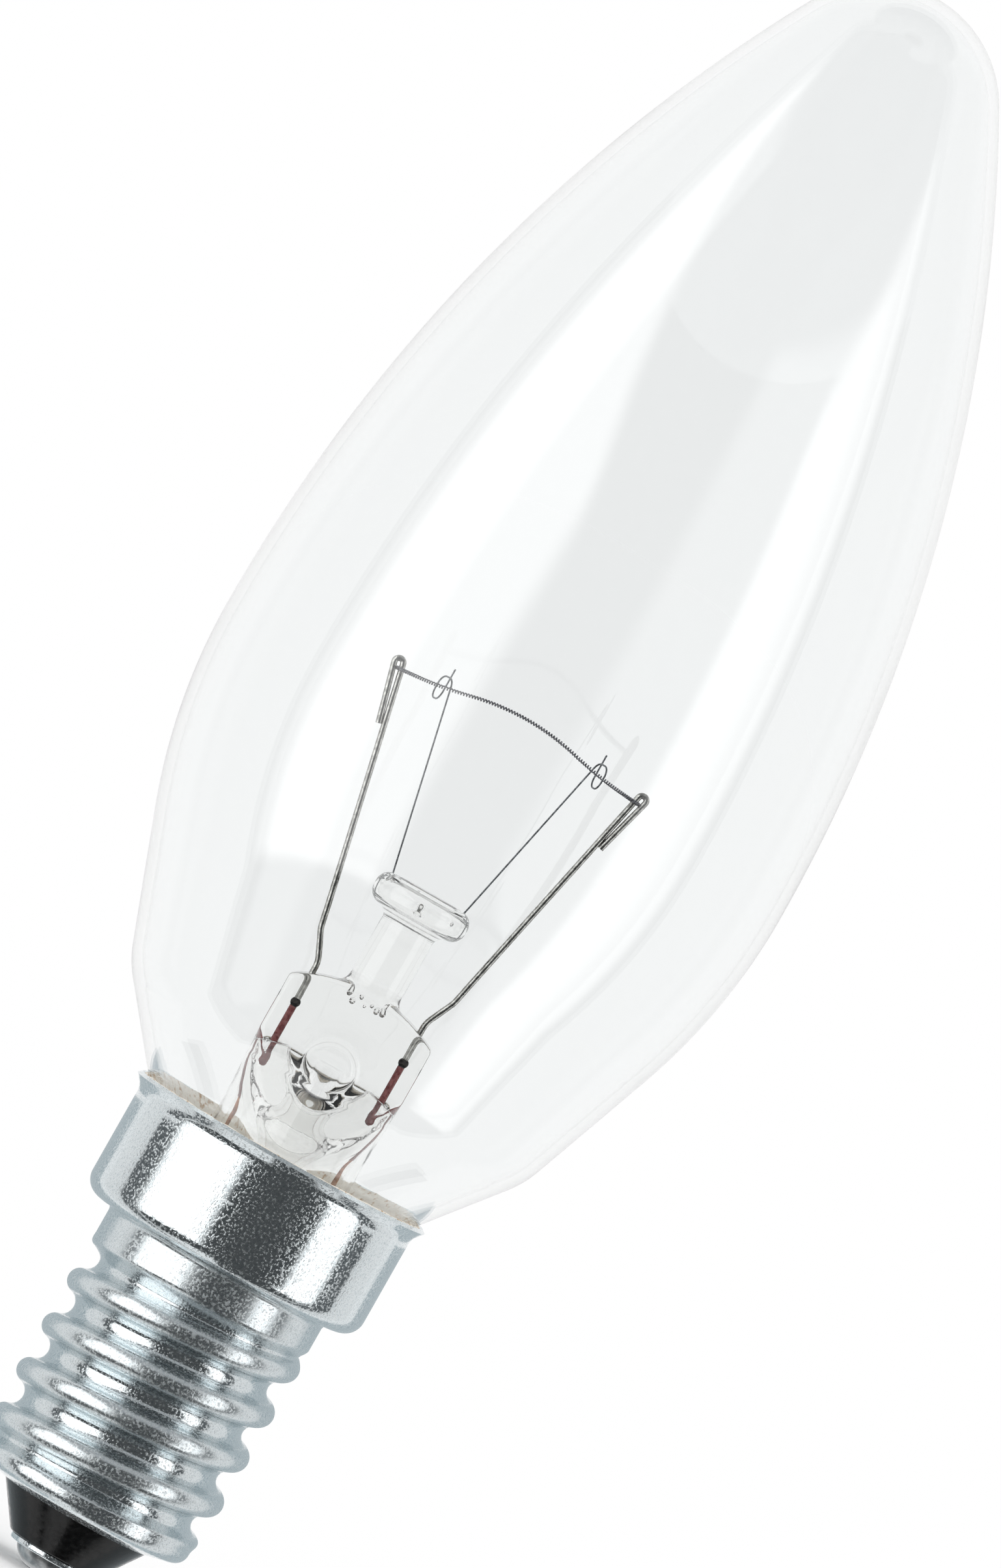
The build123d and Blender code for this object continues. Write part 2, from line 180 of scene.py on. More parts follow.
# Leads
lead_x = 3.4
lead_radius = 0.18
weld_height = press_shoulder - 1.3
knot_drop = 0.25  # from the weld to the lower end of its grey knot
kink_out = 0.8
kink_rise = 1.7  # above the press
lead_bend = 1.6
fold_radius = 0.25  # of the fold's middle line
fold_rise = 0.3  # above the filament
fold_gap = 0.03
fold_length = 3.5

# Camera, from the photograph
photo_height = 2408  # pixels
photo_scale = 28.0  # pixels to the millimetre
photo_lean = radians(29.6)  # of the lamp's axis, clockwise in the picture
camera_elevation = radians(1.3)
camera_distance = 1000.0
camera_target = Vector((0.475, 0, 50.15))

# Studio, in metres, and in degrees round the lamp from the camera to the right
studio_radius = 0.7
studio_low = -0.6
studio_high = 1.3
front_high = 0.5
front_foot = 0.35
front_left, front_right = -84, 86
below_left, below_right = -8, 79
back_edge = 125
cap_card_outline = [(0.0125, -0.05), (0.0125, 0.025)]
grey_card_start, grey_card_end = 57, 69
steel_card_start, steel_card_end = 97, 145
softbox_reach = 0.6
softbox_cells = 60
glass_passes = 4.5  # a ray that has passed more glass surfaces than this meets no card
stage_floor_radius = 9.0


def linear(colour):
    """An sRGB hex colour as linear red, green, blue and alpha."""
    channels = [int(colour[i : i + 2], 16) / 255 for i in (1, 3, 5)]
    return [c / 12.92 if c <= 0.04045 else ((c + 0.055) / 1.055) ** 2.4 for c in channels] + [1.0]


def add(tree, kind, sockets=None, **settings):
    """Adds a node with its settings. A socket gets a value, or a (node, output) pair to link."""
    new = tree.nodes.new(kind)
    for name, value in settings.items():
        setattr(new, name, value)
    for name, value in (sockets or {}).items():
        if isinstance(value, tuple) and isinstance(value[0], bpy.types.Node):
            tree.links.new(value[0].outputs[value[1]], new.inputs[name])
        else:
            new.inputs[name].default_value = value
    return new


def calculate(tree, operation, *values):
    """A calculation with values or (node, output) pairs."""
    return add(tree, "ShaderNodeMath", dict(enumerate(values)), operation=operation)


def new_material(name):
    """A material without nodes, and its tree."""
    material = bpy.data.materials.new(name)
    material.use_nodes = True
    material.node_tree.nodes.clear()
    return material, material.node_tree


def per_mm(size):
    """The scale of a texture whose features are this many millimetres across."""
    return 1 / (size * MM)


# Materials


def noise_over(tree, size, detail, **more):
    """Noise in a piece's own space, with features of a size in millimetres."""
    place = add(tree, "ShaderNodeTexCoord")
    sockets = {"Vector": (place, "Object"), "Scale": per_mm(size), "Detail": detail}
    return add(tree, "ShaderNodeTexNoise", {**sockets, **more})


def two_tones(tree, grain, dark_at, dark, light_at, light):
    """A colour that runs from a dark tone to a light one over a noise."""
    ramp = add(tree, "ShaderNodeValToRGB", {"Fac": (grain, "Fac")})
    first, last = ramp.color_ramp.elements
    first.position = dark_at
    first.color = linear(dark)
    last.position = light_at
    last.color = linear(light)
    return ramp


def relief(tree, height, strength, depth):
    """Bumps of a depth in millimetres, from a (node, output) pair."""
    return add(tree, "ShaderNodeBump", {"Height": height, "Strength": strength, "Distance": depth * MM})


def surface(material, tree, sockets):
    """Ends a material with its surface."""
    shader = add(tree, "ShaderNodeBsdfPrincipled", sockets)
    add(tree, "ShaderNodeOutputMaterial", {"Surface": (shader, "BSDF")})
    return material


def clear_glass():
    """Soda-lime glass, blown: clear and fire-polished, with a faint slow waviness left by blowing."""
    material, tree = new_material("soda_lime_glass_blown")
    waves = noise_over(tree, 9, 1.0)
    bump = relief(tree, (waves, "Fac"), 0.02, 0.4)
    return surface(
        material,
        tree,
        {
            "Base Color": linear("#FAFBFB"),
            "Roughness": 0.0,
            "IOR": 1.51,
            "Transmission Weight": 1.0,
            "Normal": (bump, "Normal"),
        },
    )


def stem_glass():
    """Lead glass, pressed and fused in a flame: brighter than the bulb, with soft flow marks."""
    material, tree = new_material("lead_glass_pressed")
    flow = noise_over(tree, 1.8, 1.0)
    bump = relief(tree, (flow, "Fac"), 0.12, 0.2)
    return surface(
        material,
        tree,
        {
            "Base Color": linear("#FDFDFC"),
            "Roughness": 0.0,
            "IOR": 1.56,
            "Transmission Weight": 1.0,
            "Normal": (bump, "Normal"),
        },
    )


def nickel_plate():
    """Nickel plate on rolled brass: a cool mirror with fine pits, dulled on the thread's raised parts."""
    material, tree = new_material("nickel_plated_brass_rolled")
    grain = noise_over(tree, 0.14, 2.0, Roughness=0.6)
    clouds = noise_over(tree, 2.2, 2.0)
    pits = add(
        tree,
        "ShaderNodeMapRange",
        {"Value": (grain, "Fac"), "From Min": 0.5, "From Max": 0.68},
        interpolation_type="SMOOTHSTEP",
    )
    tint = two_tones(tree, grain, 0.3, "#BFC8CC", 0.5, "#DEE4E6")
    # wear, which grows from the thread's roots to its crests and leaves the skirt out
    place = add(tree, "ShaderNodeTexCoord")
    flat = add(tree, "ShaderNodeVectorMath", {0: (place, "Object"), 1: (1, 1, 0)}, operation="MULTIPLY")
    radius = add(tree, "ShaderNodeVectorMath", {0: (flat, "Vector")}, operation="LENGTH")
    raised = add(
        tree,
        "ShaderNodeMapRange",
        {"Value": (radius, "Value"), "From Min": root * MM, "From Max": crest * MM},
    )
    on_thread = calculate(tree, "LESS_THAN", (radius, "Value"), 1.1 * crest * MM)
    worn = calculate(tree, "MULTIPLY", (raised, "Result"), (on_thread, "Value"))
    gloss = add(
        tree,
        "ShaderNodeMapRange",
        {"Value": (clouds, "Fac"), "From Min": 0.3, "From Max": 0.7, "To Min": 0.07, "To Max": 0.12},
    )
    gloss = calculate(tree, "MULTIPLY_ADD", (pits, "Result"), 0.3, (gloss, "Result"))
    gloss = calculate(tree, "MULTIPLY_ADD", (worn, "Value"), 0.16, (gloss, "Value"))
    bump = relief(tree, (pits, "Result"), 0.5, 0.01)
    return surface(
        material,
        tree,
        {
            "Base Color": (tint, "Color"),
            "Metallic": 1.0,
            "Roughness": (gloss, "Value"),
            "Normal": (bump, "Normal"),
        },
    )


def black_glass():
    """Black glass, moulded into the cap: glossy, with the shallow pits that the mould leaves."""
    material, tree = new_material("black_glass_moulded")
    pits = noise_over(tree, 0.3, 2.0)
    bump = relief(tree, (pits, "Fac"), 0.2, 0.03)
    gloss = add(
        tree,
        "ShaderNodeMapRange",
        {"Value": (pits, "Fac"), "From Min": 0.3, "From Max": 0.7, "To Min": 0.1, "To Max": 0.3},
    )
    return surface(
        material,
        tree,
        {
            "Base Color": linear("#060606"),
            "Roughness": (gloss, "Result"),
            "IOR": 1.52,
            "Specular IOR Level": 0.3,
            "Normal": (bump, "Normal"),
        },
    )


def metal(name, dark, light, grain_size, roughness):
    """A plain metal whose colour varies between two tones over grains of a size."""
    material, tree = new_material(name)
    grain = noise_over(tree, grain_size, 3.0)
    tint = two_tones(tree, grain, 0.35, dark, 0.65, light)
    bump = relief(tree, (grain, "Fac"), 0.3, 0.03)
    return surface(
        material,
        tree,
        {
            "Base Color": (tint, "Color"),
            "Metallic": 1.0,
            "Roughness": roughness,
            "Normal": (bump, "Normal"),
        },
    )


def red_oxide():
    """Copper-clad wire with the red oxide of a good seal: a glossy skin, grey at the welded knot."""
    material, tree = new_material("copper_clad_wire_sealed")
    streaks = noise_over(tree, 0.3, 3.0)
    tint = two_tones(tree, streaks, 0.35, "#9C3436", 0.65, "#CE7472")
    place = add(tree, "ShaderNodeTexCoord")
    height = add(tree, "ShaderNodeSeparateXYZ", {0: (place, "Object")})
    knot = calculate(tree, "GREATER_THAN", (height, "Z"), (weld_height - knot_drop) * MM)
    colour = add(
        tree, "ShaderNodeMixRGB", {"Fac": (knot, "Value"), 1: (tint, "Color"), 2: linear("#3A3836")}
    )
    return surface(
        material,
        tree,
        {"Base Color": (colour, "Color"), "Metallic": (knot, "Value"), "Roughness": 0.15},
    )


def capping_cement_finish():
    """Baked resin cement with stone powder: matt cream, gritty, with tan specks."""
    material, tree = new_material("capping_cement_baked")
    grit = noise_over(tree, 0.35, 4.0)
    tint = two_tones(tree, grit, 0.34, "#B98F5C", 0.46, "#F4EEE2")
    bump = relief(tree, (grit, "Fac"), 0.6, 0.1)
    return surface(
        material,
        tree,
        {"Base Color": (tint, "Color"), "Roughness": 0.85, "Normal": (bump, "Normal")},
    )


glass = clear_glass()
lead_glass = stem_glass()
nickel = nickel_plate()
black_glass_finish = black_glass()
cement = capping_cement_finish()
solder = metal("soft_solder_dressed", "#8D9092", "#C4C6C6", 0.5, 0.32)
nickel_wire = metal("nickel_wire_drawn", "#8A8985", "#BDBCB8", 0.25, 0.07)
copper_clad = red_oxide()
copper_wire = metal("copper_wire_bare", "#8A4B28", "#C07A4A", 0.3, 0.3)
molybdenum = metal("molybdenum_wire_drawn", "#5C5E61", "#85888B", 0.2, 0.3)
tungsten = metal("tungsten_coil", "#66666A", "#9A9AA0", 0.1, 0.35)


# Shapes


def pen_line(bm, end, x, z):
    """Extrudes the end of a profile to a point of the XZ plane."""
    end = bmesh.ops.extrude_vert_indiv(bm, verts=[end])["verts"][0]
    end.co = (x, 0, z)
    return end


def pen_arc(bm, end, x, z, angle, steps):
    """Spins the end of a profile about a point of the XZ plane."""
    swept = bmesh.ops.spin(bm, geom=[end], cent=(x, 0, z), axis=(0, 1, 0), angle=angle, steps=steps)
    return next(item for item in swept["geom_last"] if isinstance(item, bmesh.types.BMVert))


def pen_corner(bm, end, corner, ahead, radius, steps=8):
    """Runs to a corner and rounds it, ready to leave for the point ahead."""
    corner = Vector(corner)
    back = (Vector((end.co.x, end.co.z)) - corner).normalized()
    on = (Vector(ahead) - corner).normalized()
    half = back.angle(on) / 2
    end = pen_line(bm, end, *(corner + back * radius / tan(half)))
    centre = corner + (back + on).normalized() * radius / sin(half)
    turn = copysign(pi - 2 * half, back.x * on.y - back.y * on.x)
    return pen_arc(bm, end, *centre, turn, steps)


def lathe(bm, steps):
    """Turns all that is drawn about the Z axis."""
    bmesh.ops.spin(
        bm, geom=bm.verts[:] + bm.edges[:], cent=(0, 0, 0), axis=(0, 0, 1), angle=2 * pi, steps=steps,
        use_merge=True,
    )
    bmesh.ops.remove_doubles(bm, verts=bm.verts[:], dist=0.0005)
    bmesh.ops.recalc_face_normals(bm, faces=bm.faces[:])


def give_wall(bm, thickness):
    """Turns an open skin's faces outwards and gives it a wall on the inside."""
    bmesh.ops.recalc_face_normals(bm, faces=bm.faces[:])
    widest_face = max(bm.faces, key=lambda face: face.calc_center_median().xy.length)
    if widest_face.normal.xy.dot(widest_face.calc_center_median().xy) < 0:
        bmesh.ops.reverse_faces(bm, faces=bm.faces[:])
    bmesh.ops.solidify(bm, geom=bm.faces[:], thickness=thickness)


def add_object(bm, name):
    """Makes an object of a bmesh."""
    mesh = bpy.data.meshes.new(name)
    bm.to_mesh(mesh)
    bm.free()
    piece = bpy.data.objects.new(name, mesh)
    bpy.context.scene.collection.objects.link(piece)
    return piece


def settle(piece):
    """Applies a piece's modifiers."""
    seen = piece.evaluated_get(bpy.context.evaluated_depsgraph_get())
    piece.data = bpy.data.meshes.new_from_object(seen)
    piece.modifiers.clear()


def combine(piece, bm, operation):
    """Joins a second shape to a piece, keeps what they share or cuts it away."""
    tool = add_object(bm, "tool")
    change = piece.modifiers.new("combine", "BOOLEAN")
    change.operation, change.solver, change.object = operation, "EXACT", tool
    settle(piece)
    bpy.data.objects.remove(tool)


def dress(piece, material, slot, *nodes, sharp=35):
    """Gives a piece its finish and lets it stand for its solids."""
    piece.data.transform(Matrix.Scale(MM, 4))
    piece.data.materials.clear()
    piece.data.materials.append(material)
    piece.data.shade_smooth()
    piece.data.set_sharp_from_angle(angle=radians(sharp))
    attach(piece, "root")
    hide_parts(*nodes)
    return piece


def outline_mesh(outline):
    """Draws (x, z, corner radius) points in the XZ plane, left open where both ends are on the axis."""
    bm = bmesh.new()
    end = bm.verts.new((outline[0][0], 0, outline[0][1]))
    closed = outline[0][0] != 0 or outline[-1][0] != 0
    for this, ahead in zip(outline[1:], outline[2:] + outline[:1]):
        if this[2]:
            end = pen_corner(bm, end, this[:2], ahead[:2], this[2], 6)
        else:
            end = pen_line(bm, end, *this[:2])
    if closed:
        pen_line(bm, end, *outline[0][:2])
        bmesh.ops.remove_doubles(bm, verts=bm.verts[:], dist=0.0005)
    return bm


def turned(outline, steps=96):
    """A turned solid."""
    bm = outline_mesh(outline)
    lathe(bm, steps)
    return bm


def prism(bm, depth):
    """A closed outline made solid, to the same depth in front and behind."""
    face = bmesh.ops.contextual_create(bm, geom=bm.edges[:])["faces"]
    bmesh.ops.translate(bm, vec=(0, -depth, 0), verts=bm.verts[:])
    swept = bmesh.ops.extrude_face_region(bm, geom=face)["geom"]
    verts = [item for item in swept if isinstance(item, bmesh.types.BMVert)]
    bmesh.ops.translate(bm, vec=(0, 2 * depth, 0), verts=verts)
    bmesh.ops.recalc_face_normals(bm, faces=bm.faces[:])
    return bm


def glass_bulb():
    """The blown bulb: one outline from the tip to the neck, turned, and given its wall."""
    tip_centre = tip - tip_radius
    tip_rise = tip_centre - widest
    dome_radius = (bulb_radius**2 + tip_rise**2 - tip_radius**2) / (2 * (bulb_radius - tip_radius))
    dome_axis = dome_radius - bulb_radius
    tip_turn = atan2(dome_axis, tip_rise)
    flank_x = bulb_radius - flank_radius * (1 - cos(flank_taper))
    flank_z = widest - flank_radius * sin(flank_taper)
    neck_slope, flank_slope = tan(neck_taper), tan(flank_taper)
    hip_z = flank_x - neck_radius + neck_slope * neck_top - flank_slope * flank_z
    hip_z /= neck_slope - flank_slope
    hip = (neck_radius + neck_slope * (hip_z - neck_top), hip_z)
    bm = bmesh.new()
    end = bm.verts.new((0, 0, tip))
    end = pen_arc(bm, end, 0, tip_centre, tip_turn, 20)
    end = pen_arc(bm, end, -dome_axis, widest, pi / 2 - tip_turn, 110)
    end = pen_arc(bm, end, bulb_radius - flank_radius, widest, flank_taper, 40)
    end = pen_corner(bm, end, hip, (neck_radius, neck_top), hip_fillet, 12)
    end = pen_corner(bm, end, (neck_radius, neck_top), (neck_radius, neck_bottom), neck_fillet, 12)
    pen_line(bm, end, neck_radius, neck_bottom)
    lathe(bm, 200)
    give_wall(bm, glass_wall)
    bulb = dress(add_object(bm, "glass_bulb"), glass, "clear_glass", "glass_envelope", sharp=50)
    bulb.visible_diffuse = bulb.visible_shadow = False  # daylight reaches what is inside it
    return bulb


def thread_wave(turn):
    """The thread's profile, from 1 on a crest to -1 in a root: round arcs that meet on a steep flank."""
    away = abs((turn / (2 * pi) + 0.5) % 1 - 0.5) * thread_pitch  # from the crest
    flank = 2 * atan2(crest - root, thread_pitch / 2)
    bend = thread_pitch / 4 / sin(flank)
    near = min(away, thread_pitch / 2 - away)
    drop = (bend - (bend**2 - near**2) ** 0.5) * 2 / (crest - root)
    return 1 - drop if away < thread_pitch / 4 else drop - 1


def thread_radius(climb, turn):
    """The thread's radius at a height and a turn from its crest, with a soft start and a soft end."""
    share = max(0, min(1, climb / thread_run_in, (thread_length - climb) / thread_run_out))
    share = share**2 * (3 - 2 * share)
    plain = base_radius if climb < thread_length / 2 else collar_radius
    return plain + share * ((crest + root) / 2 - plain + (crest - root) / 2 * thread_wave(turn))


def cap():
    """The rolled cap: base, thread, collar, skirt and flared rim of one sheet."""
    around = 96  # as many as the sections in a turn, so that the helix runs through the corners
    bm = bmesh.new()
    floor_rise = (base_radius - floor_radius) * tan(floor_slope)
    end = bm.verts.new((floor_radius, 0, shell_bottom))
    end = pen_corner(
        bm, end, (base_radius, shell_bottom + floor_rise), (base_radius, thread_bottom), base_corner
    )
    pen_line(bm, end, base_radius, thread_bottom)
    end = bm.verts.new((collar_radius, 0, thread_top))
    end = pen_corner(bm, end, (collar_radius, shoulder), (skirt_radius, shoulder), collar_corner)
    end = pen_corner(bm, end, (skirt_radius, shoulder), (skirt_radius, flare_start), skirt_corner, 12)
    end = pen_corner(bm, end, (skirt_radius, flare_start), (rim_radius, rim_top), rim_fillet)
    pen_line(bm, end, rim_radius, rim_top)
    lathe(bm, around)
    sections = round(around * thread_length / thread_pitch)
    last_ring = None
    for i in range(sections + 1):
        climb = thread_length * i / sections
        turn = 2 * pi * climb / thread_pitch + thread_phase
        place = Matrix.Translation((0, 0, thread_bottom + climb))
        verts = bmesh.ops.create_circle(bm, segments=around, radius=crest, matrix=place)["verts"]
        for vert in verts:
            vert.co.xy *= thread_radius(climb, turn - atan2(vert.co.y, vert.co.x)) / crest
        ring = list({edge for vert in verts for edge in vert.link_edges})
        if last_ring:
            bmesh.ops.bridge_loops(bm, edges=last_ring + ring)
        last_ring = ring
    bmesh.ops.remove_doubles(bm, verts=bm.verts[:], dist=0.002)
    bmesh.ops.triangulate(bm, faces=bm.faces[:], quad_method="SHORT_EDGE")
    give_wall(bm, cap_wall)
    return dress(add_object(bm, "screw_cap"), nickel, "nickel_plated_brass", "cap_shell", sharp=50)


def insulator():
    """Black glass that fills the end of the cap."""
    low, high = box_mm("cap_insulator")
    plate_radius = box_mm("contact_plate")[1].x
    edge = (floor_radius - cap_wall * sin(floor_slope), shell_bottom + cap_wall * cos(floor_slope))
    bm = turned(
        [
            (lead_hole, low.z, 0),
            (plate_radius + insulator_ledge, low.z, insulator_corner),
            (floor_radius, shell_bottom, 0),
            (*edge, 0),
            (high.x, edge[1] + (high.x - edge[0]) * tan(floor_slope), 0),
            (high.x, high.z, insulator_top_corner),
            (lead_hole, high.z, 0),
        ]
    )
    return dress(add_object(bm, "insulator"), black_glass_finish, "black_glass", "cap_insulator")


def contact():
    """The pressed contact disc and the solder that closes its hole."""
    low, high = box_mm("contact_plate")
    bm = turned(
        [
            (lead_hole, low.z, 0),
            (high.x, low.z, plate_corner),
            (high.x, high.z, plate_top_corner),
            (lead_hole, high.z, 0),
        ]
    )
    dress(add_object(bm, "contact_disc"), nickel, "nickel_plated_brass", "contact_plate")
    high = box_mm("centre_solder")[1]
    reach = high.x - solder_flat
    bend = (reach**2 + high.z**2) / (2 * high.z)
    bm = bmesh.new()
    end = bm.verts.new((0, 0, 0))
    end = pen_line(bm, end, solder_flat, 0)
    end = pen_arc(bm, end, solder_flat, bend, -atan2(reach, bend - high.z), 12)
    pen_line(bm, end, 0, high.z)
    lathe(bm, 64)
    return dress(add_object(bm, "contact_solder"), solder, "solder", "centre_solder")


def cement_ring():
    """Cement squeezed up between the neck and the skirt, with a hand-filled, uneven edge."""
    skirt_bore = skirt_radius - cap_wall - cement_clearance
    top = rim_top + cement_rise
    bend_start = neck_top - neck_fillet * tan(neck_taper / 2)
    bm = bmesh.new()
    end = start = bm.verts.new((skirt_bore, 0, neck_bottom))
    end = pen_line(bm, end, neck_radius + cement_clearance, neck_bottom)
    end = pen_line(bm, end, neck_radius + cement_clearance, bend_start)
    end = pen_arc(bm, end, neck_radius + neck_fillet, bend_start, asin((top - bend_start) / neck_fillet), 8)
    end = pen_line(bm, end, rim_radius - cap_wall - cement_edge_inset, rim_top + cement_edge_rise)
    end = pen_line(bm, end, skirt_bore, flare_start - cement_flare_drop)
    pen_line(bm, end, *start.co.xz)
    lathe(bm, 144)
    for vert in bm.verts:
        if vert.co.z > flare_start:
            vert.co.z -= cement_unevenness * abs(noise.noise(vert.co / cement_wave))
    return dress(add_object(bm, "cement_ring"), cement, "cement", "capping_cement", sharp=60)


def across(radius, depth, y):
    """A round bar from front to back at the blow hole's height."""
    bm = bmesh.new()
    place = Matrix.Translation((0, y, blow_hole_height)) @ Matrix.Rotation(pi / 2, 4, "X")
    bmesh.ops.create_cone(
        bm, cap_ends=True, segments=64, radius1=radius, radius2=radius, depth=2 * depth, matrix=place
    )
    return bm


def trap_bubbles(bm):
    """Small air bubbles in the button and where the rod was pressed on, scattered by sines."""
    button_middle = button_bottom + button_height / 2
    for i in range(9):
        place = Vector((2.1 * sin(2.4 * i), 1.3 * cos(5.1 * i), button_middle + 0.4 * sin(7.3 * i)))
        trap_bubble(bm, place, 0.09 + 0.06 * cos(3.7 * i))
    for i in range(7):
        place = Vector((0.36 * (i - 3), 0.6 * sin(4.3 * i), press_top - 0.75 + 0.15 * cos(2.9 * i)))
        trap_bubble(bm, place, 0.15 + 0.06 * cos(5.3 * i))


def trap_bubble(bm, place, radius):
    """One bubble, its faces turned inwards, because the glass is outside it."""
    place = Matrix.Translation(place)
    verts = bmesh.ops.create_icosphere(bm, subdivisions=2, radius=radius, matrix=place)["verts"]
    bmesh.ops.reverse_faces(bm, faces=list({face for vert in verts for face in vert.link_faces}))


def between_jaws(half, bend_height, fillet, spread, bottom, top):
    """The room between a front and a back jaw, which run straight down to a bend and open below it."""
    outline = [
        (-spread, bottom, 0),
        (spread, bottom, 0),
        (half, bend_height, fillet),
        (half, top, 0),
        (-half, top, 0),
        (-half, bend_height, fillet),
    ]
    bm = prism(outline_mesh(outline), past_all)
    bmesh.ops.rotate(bm, cent=(0, 0, 0), matrix=Matrix.Rotation(pi / 2, 3, "Z"), verts=bm.verts[:])
    return bm


def press_front():
    """The press as seen from the front, with a round top, and room for the whole tube below it."""
    crown = press_top - press_shoulder
    crown_radius = (press_half_width**2 + crown**2) / (2 * crown)
    below = neck_bottom - cut_margin
    bm = bmesh.new()
    end = start = bm.verts.new((press_half_width, 0, press_shoulder))
    end = pen_arc(bm, end, 0, press_top - crown_radius, -2 * asin(press_half_width / crown_radius), 24)
    for x, z in (
        (-press_half_width, press_bottom),
        (-past_all, press_bottom),
        (-past_all, below),
        (past_all, below),
        (past_all, press_bottom),
        (press_half_width, press_bottom),
    ):
        end = pen_line(bm, end, x, z)
    pen_line(bm, end, *start.co.xz)
    bmesh.ops.remove_doubles(bm, verts=bm.verts[:], dist=0.0005)
    return prism(bm, past_all)


def stem_hollow():
    """The inside of the flared tube, which narrows to a slit each side of the blow hole."""
    bore = tube_radius - tube_wall
    rim_bore = flare_radius - tube_wall
    slit_top = blow_hole_height + slit_rise
    outline = [
        (0, neck_bottom - cut_margin, 0),
        (rim_bore, neck_bottom - cut_margin, 0),
        (rim_bore, neck_bottom + flare_rim_bore, 0),
        (bore, flare_top - flare_bore_drop, flare_bore_fillet),
        (bore, slit_top - slit_end, slit_corner),
        (0, slit_top, 0),
    ]
    piece = add_object(turned(outline), "hollow")
    press_wall = press_half_thickness - slit
    slit_start = press_bottom - press_wall * tan(press_taper / 2)
    low, high = neck_bottom - 2 * cut_margin, slit_top + 2 * cut_margin
    spread = slit + (slit_start - low) * press_slope
    wedge = between_jaws(slit, slit_start, press_fillet + press_wall, spread, low, high)
    combine(piece, wedge, "INTERSECT")
    combine(piece, across(blow_hole_radius + blow_hole_wall, past_all, 0), "DIFFERENCE")
    bm = bmesh.new()
    bm.from_mesh(piece.data)
    bpy.data.objects.remove(piece)
    return bm


def soften(bm):
    """Smooths the glass as the flame leaves it, most of all above the flare and at the rod's foot."""
    bend = [vert for vert in bm.verts if flare_top < vert.co.z < press_bottom - 1]
    rod_foot = [vert for vert in bm.verts if press_top - 0.6 < vert.co.z < press_top + 0.8]
    rod_foot = [vert for vert in rod_foot if vert.co.xy.length < rod_radius + 0.6]
    for verts in 5 * [bm.verts[:]] + 30 * [bend] + 40 * [rod_foot]:
        bmesh.ops.smooth_vert(
            bm, verts=verts, factor=0.5, use_axis_x=True, use_axis_y=True, use_axis_z=True
        )


def stem():
    """Flared tube, press, pump tube, rod and button, fused in the flame into one piece of glass."""
    squeeze = press_bottom - (tube_radius - press_half_thickness) / press_slope
    bead_radius = press_half_width + press_bead
    flared_tube = [
        (0, neck_bottom, 0),
        (flare_radius, neck_bottom, 0),
        (flare_radius, neck_bottom + flare_rim, 0),
        (tube_radius, flare_top, flare_fillet),
        (tube_radius, squeeze, 0),
        (press_half_width, press_bottom, 0),
        (bead_radius, press_bottom + press_bead_rise, 0),
        (bead_radius, press_top, 0),
        (0, press_top, 0),
    ]
    piece = add_object(turned(flared_tube), "stem")
    spread = press_half_thickness + (press_bottom - neck_bottom) * press_slope
    jaws = between_jaws(press_half_thickness, press_bottom, press_fillet, spread, neck_bottom, press_top)
    combine(piece, jaws, "INTERSECT")
    combine(piece, press_front(), "INTERSECT")
    combine(piece, stem_hollow(), "DIFFERENCE")
    rod = [
        (0, press_top - rod_sink, 0),
        (rod_radius, press_top - rod_sink, 0),
        (rod_radius, button_bottom, rod_fillet),
        (button_radius, button_bottom, button_corner),
        (button_radius, button_top, button_corner),
        (0, button_top, 0),
    ]
    combine(piece, turned(rod), "UNION")
    pump_tube = [
        (0, exhaust_low.z, 0),
        (exhaust_radius, exhaust_low.z + exhaust_tip, exhaust_tip_corner),
        (exhaust_radius, exhaust_high.z + exhaust_sink, 0),
        (0, exhaust_high.z + exhaust_sink, 0),
    ]
    combine(piece, turned(pump_tube), "UNION")
    pump_bore = [
        (0, exhaust_low.z + exhaust_tip, 0),
        (exhaust_bore, exhaust_low.z + 2 * exhaust_tip, 0),
        (exhaust_bore, blow_hole_height, 0),
        (0, blow_hole_height, 0),
    ]
    combine(piece, turned(pump_bore), "DIFFERENCE")
    blow_hole = across(blow_hole_radius, tube_radius / 2, blow_hole_back - tube_radius / 2)
    combine(piece, blow_hole, "DIFFERENCE")
    fuse = piece.modifiers.new("fuse", "REMESH")
    fuse.mode, fuse.voxel_size = "VOXEL", stem_voxel
    settle(piece)
    bm = bmesh.new()
    bm.from_mesh(piece.data)
    soften(bm)
    trap_bubbles(bm)
    bm.to_mesh(piece.data)
    bm.free()
    return dress(piece, lead_glass, "clear_glass", "stem_press", "exhaust_tube", "support_rod", sharp=180)


def draw_curve(name, kind, points):
    """An object with a curve of a kind along points."""
    line = bpy.data.curves.new(name + "_line", "CURVE")
    line.dimensions = "3D"
    spline = line.splines.new(kind)
    spline.points.add(len(points) - 1)
    for point, co in zip(spline.points, points):
        point.co = (*co, 1)
    return bpy.data.objects.new(name + "_line", line)


def curve_mesh(route):
    """Makes a curve into a mesh and removes its object."""
    mesh = bpy.data.meshes.new_from_object(route)
    bpy.data.objects.remove(route)
    return mesh


def wire_mesh(points, radius, name, roundness=1):
    """A round wire along points."""
    route = draw_curve(name, "POLY", points)
    route.data.bevel_depth = radius
    route.data.bevel_resolution = roundness
    route.data.use_fill_caps = True
    piece = bpy.data.objects.new(name, curve_mesh(route))
    bpy.context.scene.collection.objects.link(piece)
    return piece


